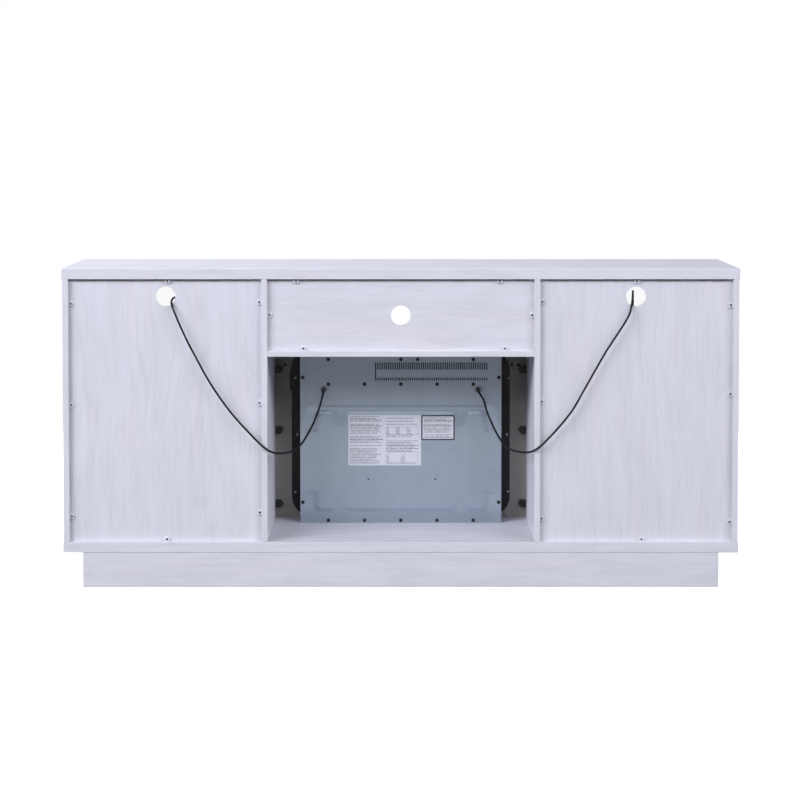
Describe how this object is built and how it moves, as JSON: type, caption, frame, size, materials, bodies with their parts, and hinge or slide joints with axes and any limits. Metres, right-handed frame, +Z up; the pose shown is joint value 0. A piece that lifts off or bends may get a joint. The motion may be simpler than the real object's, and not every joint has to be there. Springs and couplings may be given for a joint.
{
  "type": "fireplace tv stand",
  "caption": "Long low media cabinet with glass-door side bays, an open middle shelf and an electric firebox, seen with its open back and cable holes.",
  "frame": {"origin": "on the floor under the middle of the cabinet, at the bottom centre of its box", "axes": "+X along the cabinet, to the right in the rear view; +Y towards the room, through the glass doors; +Z up"},
  "size_m": [1.78, 0.4111, 0.842],
  "materials": {
    "laminate": "satin white-grey wood-grain laminate",
    "back_board": "satin printed hardboard",
    "black_plastic": "fine matt",
    "black_steel": "semi-matt powder coat",
    "zinc_steel": "galvanised sheet",
    "satin_metal": "satin",
    "door_glass": "clear tempered",
    "smoked_screen": "smoked acrylic",
    "lead_jacket": "matt",
    "log_resin": "painted moulded resin",
    "ember_resin": "painted translucent resin",
    "mica": "mica board and wire",
    "circuit_board": "solder mask"
  },
  "bodies": {
    "cabinet": {"top_panel": "laminate", "bottom_panel": "laminate", "left_side_panel": "laminate", "right_side_panel": "laminate", "left_divider": "laminate", "right_divider": "laminate", "left_shelf": "laminate", "right_shelf": "laminate", "media_shelf": "laminate", "left_back_panel": "back_board", "right_back_panel": "back_board", "media_back_panel": "back_board", "plinth_back_rail": "laminate", "plinth_front_rail": "laminate", "plinth_left_end": "laminate", "plinth_right_end": "laminate", "plinth_centre_rib": "laminate", "surround_board": "laminate", "left_lower_corner_block": "black_plastic", "left_middle_corner_block": "black_plastic", "left_upper_corner_block": "black_plastic", "right_lower_corner_block": "black_plastic", "right_middle_corner_block": "black_plastic", "right_upper_corner_block": "black_plastic", "left_magnet_catch": "black_plastic", "right_magnet_catch": "black_plastic", "back_cover": "zinc_steel", "firebox_shell": "zinc_steel", "front_flange": "black_steel", "bezel": "black_plastic", "viewing_glass": "door_glass", "control_board": "circuit_board", "flame_screen": "smoked_screen", "ember_bed": "ember_resin", "log_set": "log_resin", "rotor_motor": "satin_metal", "heater_housing": "zinc_steel", "blower_motor": "satin_metal", "heating_element": "mica", "left_strain_relief": "lead_jacket", "right_strain_relief": "lead_jacket", "left_lead": "lead_jacket", "left_lead_coil": "lead_jacket", "left_plug": "lead_jacket", "right_lead": "lead_jacket", "right_lead_coil": "lead_jacket", "right_plug": "lead_jacket"},
    "left_door": {"left_door_glass": "door_glass", "left_door_upper_clamp": "satin_metal", "left_door_lower_clamp": "satin_metal", "left_door_pull": "satin_metal"},
    "right_door": {"right_door_glass": "door_glass", "right_door_upper_clamp": "satin_metal", "right_door_lower_clamp": "satin_metal", "right_door_pull": "satin_metal"},
    "flame_rotor": {"flame_rotor": "satin_metal"},
    "blower_wheel": {"blower_wheel": "black_plastic"},
    "power_button": {"power_button": "black_plastic"},
    "flame_button": {"flame_button": "black_plastic"},
    "heat_button": {"heat_button": "black_plastic"}
  },
  "joints": [
    {"name": "left_door_swing", "type": "hinge", "parent": "cabinet", "child": "left_door", "pos_m": [-0.861, 0.1825, 0.467], "axis": [0, 0, 1], "range_deg": [0, 100]},
    {"name": "right_door_swing", "type": "hinge", "parent": "cabinet", "child": "right_door", "pos_m": [0.861, 0.1825, 0.467], "axis": [0, 0, -1], "range_deg": [0, 100]},
    {"name": "flame_rotor_spin", "type": "hinge", "parent": "cabinet", "child": "flame_rotor", "pos_m": [0, 0.0998, 0.1923], "axis": [1, 0, 0], "continuous": true},
    {"name": "blower_wheel_spin", "type": "hinge", "parent": "cabinet", "child": "blower_wheel", "pos_m": [0, 0.1128, 0.5453], "axis": [1, 0, 0], "continuous": true},
    {"name": "power_button_press", "type": "slide", "parent": "cabinet", "child": "power_button", "axis": [0, -1, 0], "range_m": [0, 0.0015], "stiffness_N_per_m": 400},
    {"name": "flame_button_press", "type": "slide", "parent": "cabinet", "child": "flame_button", "axis": [0, -1, 0], "range_m": [0, 0.0015], "stiffness_N_per_m": 400},
    {"name": "heat_button_press", "type": "slide", "parent": "cabinet", "child": "heat_button", "axis": [0, -1, 0], "range_m": [0, 0.0015], "stiffness_N_per_m": 400}
  ]
}
